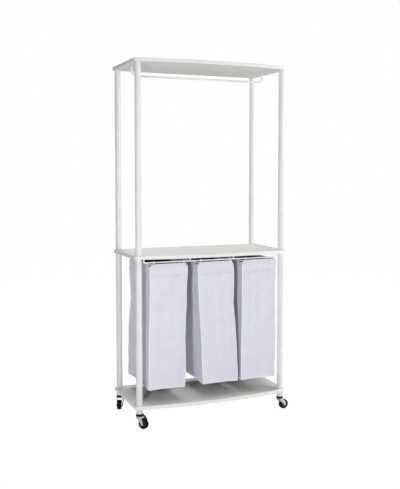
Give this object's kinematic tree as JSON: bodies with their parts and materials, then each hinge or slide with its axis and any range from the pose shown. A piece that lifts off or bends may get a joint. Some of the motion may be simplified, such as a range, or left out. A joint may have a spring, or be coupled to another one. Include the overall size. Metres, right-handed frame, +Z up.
{
  "type": "laundry cart",
  "caption": "Tall rolling laundry cart with bow-fronted shelves on tube posts, a hanging bar, fabric sorter bags on wire rails, and swivel casters.",
  "frame": {"origin": "centre of the bounding box in plan, on the floor under the wheels", "axes": "+Z up, -Y towards the bowed front, +X to the right seen from the front"},
  "size_m": [0.8474, 0.415, 1.7819],
  "materials": {
    "laminate": "white melamine laminate on particle board, satin",
    "white_steel": "white powder coat, semi-gloss",
    "white_plastic": "white moulded plastic",
    "bag_fabric": "pale lavender-white woven polyester",
    "zinc": "bright zinc plate",
    "black_plastic": "black moulded plastic",
    "wheel_rubber": "black moulded tread and hub"
  },
  "bodies": {
    "stand": {"bottom_shelf": "laminate", "middle_shelf": "laminate", "top_shelf": "laminate", "lower_post_front_left": "white_steel", "upper_post_front_left": "white_steel", "post_stud_front_left": "zinc", "top_screw_front_left": "zinc", "foot_collar_front_left": "white_plastic", "lower_post_front_right": "white_steel", "upper_post_front_right": "white_steel", "post_stud_front_right": "zinc", "top_screw_front_right": "zinc", "foot_collar_front_right": "white_plastic", "lower_post_rear_left": "white_steel", "upper_post_rear_left": "white_steel", "post_stud_rear_left": "zinc", "top_screw_rear_left": "zinc", "foot_collar_rear_left": "white_plastic", "lower_post_rear_right": "white_steel", "upper_post_rear_right": "white_steel", "post_stud_rear_right": "zinc", "top_screw_rear_right": "zinc", "foot_collar_rear_right": "white_plastic", "hanging_bar": "white_steel", "front_rail": "white_steel", "rear_rail": "white_steel", "caster_stem_front_left": "zinc", "swivel_cap_front_left": "black_plastic", "caster_stem_front_right": "zinc", "swivel_cap_front_right": "black_plastic", "caster_stem_rear_left": "zinc", "swivel_cap_rear_left": "black_plastic", "caster_stem_rear_right": "zinc", "swivel_cap_rear_right": "black_plastic"},
    "bag_left_unit": {"bag_left": "bag_fabric", "bag_frame_left": "white_steel"},
    "bag_middle_unit": {"bag_middle": "bag_fabric", "bag_frame_middle": "white_steel"},
    "bag_right_unit": {"bag_right": "bag_fabric", "bag_frame_right": "white_steel"},
    "swivel_front_left": {"fork_front_left": "zinc", "axle_front_left": "zinc"},
    "roller_front_left": {"wheel_front_left": "wheel_rubber"},
    "brake_front_left": {"brake_lever_front_left": "black_plastic"},
    "swivel_front_right": {"fork_front_right": "zinc", "axle_front_right": "zinc"},
    "roller_front_right": {"wheel_front_right": "wheel_rubber"},
    "swivel_rear_left": {"fork_rear_left": "zinc", "axle_rear_left": "zinc"},
    "roller_rear_left": {"wheel_rear_left": "wheel_rubber"},
    "brake_rear_left": {"brake_lever_rear_left": "black_plastic"},
    "swivel_rear_right": {"fork_rear_right": "zinc", "axle_rear_right": "zinc"},
    "roller_rear_right": {"wheel_rear_right": "wheel_rubber"}
  },
  "joints": [
    {"name": "bag_left_slide", "type": "slide", "parent": "stand", "child": "bag_left_unit", "axis": [1, 0, 0], "range_m": [-0.028, 0.026]},
    {"name": "bag_middle_slide", "type": "slide", "parent": "stand", "child": "bag_middle_unit", "axis": [1, 0, 0], "range_m": [-0.026, 0.008]},
    {"name": "bag_right_slide", "type": "slide", "parent": "stand", "child": "bag_right_unit", "axis": [1, 0, 0], "range_m": [-0.008, 0.008]},
    {"name": "swivel_front_left", "type": "hinge", "parent": "stand", "child": "swivel_front_left", "pos_m": [-0.39653, -0.1495, 0.057], "axis": [0, 0, 1], "continuous": true},
    {"name": "spin_front_left", "type": "hinge", "parent": "swivel_front_left", "child": "roller_front_left", "pos_m": [-0.38219, -0.16998, 0.02479], "axis": [0.8192, 0.5736, 0], "continuous": true},
    {"name": "brake_front_left", "type": "hinge", "parent": "swivel_front_left", "child": "brake_front_left", "pos_m": [-0.38219, -0.16998, 0.02479], "axis": [0.8192, 0.5736, 0], "range_deg": [0, 30]},
    {"name": "swivel_front_right", "type": "hinge", "parent": "stand", "child": "swivel_front_right", "pos_m": [0.37347, -0.1495, 0.057], "axis": [0, 0, 1], "continuous": true},
    {"name": "spin_front_right", "type": "hinge", "parent": "swivel_front_right", "child": "roller_front_right", "pos_m": [0.39817, -0.14559, 0.02479], "axis": [-0.1564, 0.9877, 0], "continuous": true},
    {"name": "swivel_rear_left", "type": "hinge", "parent": "stand", "child": "swivel_rear_left", "pos_m": [-0.39653, 0.1885, 0.057], "axis": [0, 0, 1], "continuous": true},
    {"name": "spin_rear_left", "type": "hinge", "parent": "swivel_rear_left", "child": "roller_rear_left", "pos_m": [-0.40589, 0.16532, 0.02479], "axis": [0.9272, -0.3746, 0], "continuous": true},
    {"name": "brake_rear_left", "type": "hinge", "parent": "swivel_rear_left", "child": "brake_rear_left", "pos_m": [-0.40589, 0.16532, 0.02479], "axis": [0.9272, -0.3746, 0], "range_deg": [0, 30]},
    {"name": "swivel_rear_right", "type": "hinge", "parent": "stand", "child": "swivel_rear_right", "pos_m": [0.37347, 0.1885, 0.057], "axis": [0, 0, 1], "continuous": true},
    {"name": "spin_rear_right", "type": "hinge", "parent": "swivel_rear_right", "child": "roller_rear_right", "pos_m": [0.34998, 0.17995, 0.02479], "axis": [0.342, -0.9397, 0], "continuous": true}
  ]
}
